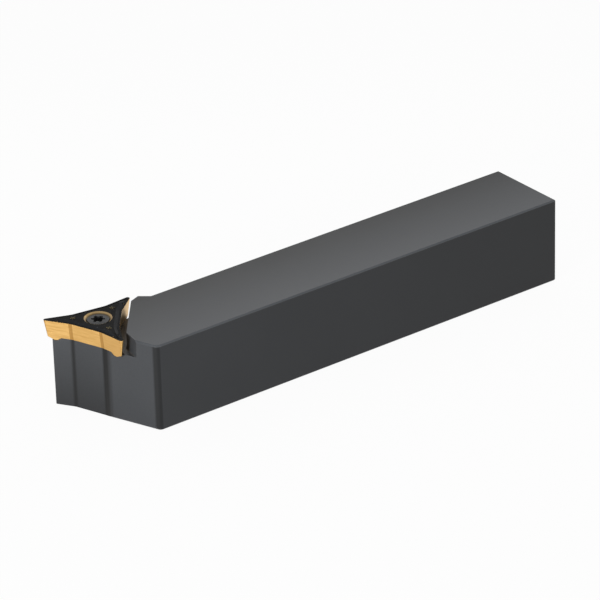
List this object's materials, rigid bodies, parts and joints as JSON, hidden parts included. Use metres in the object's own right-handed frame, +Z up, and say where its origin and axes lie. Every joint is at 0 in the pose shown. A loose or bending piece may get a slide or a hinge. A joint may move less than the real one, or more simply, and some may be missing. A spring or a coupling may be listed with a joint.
{
  "type": "turning tool holder",
  "caption": "External turning tool holder with a square shank and an offset head that carries a star-shaped indexable insert under a countersunk screw.",
  "frame": {"origin": "on the bottom face of the shank, on its centre line, midway along the length that a turret clamps", "axes": "+X along the shank towards the cutting corner, +Z up from the bottom face to the cutting plane; the cutting corner lies on the -Y side"},
  "size_m": [0.15, 0.032, 0.0255],
  "materials": {
    "blackened_steel": "fine satin, dark grey surface treatment on machined steel",
    "coated_carbide": "golden coating with a fine ground grain on the flanks, black chip face on top",
    "screw_steel": "dark, lightly oiled steel"
  },
  "bodies": {
    "root": {"tool_holder": "blackened_steel", "cutting_insert": "coated_carbide", "clamping_screw": "screw_steel"}
  },
  "joints": []
}
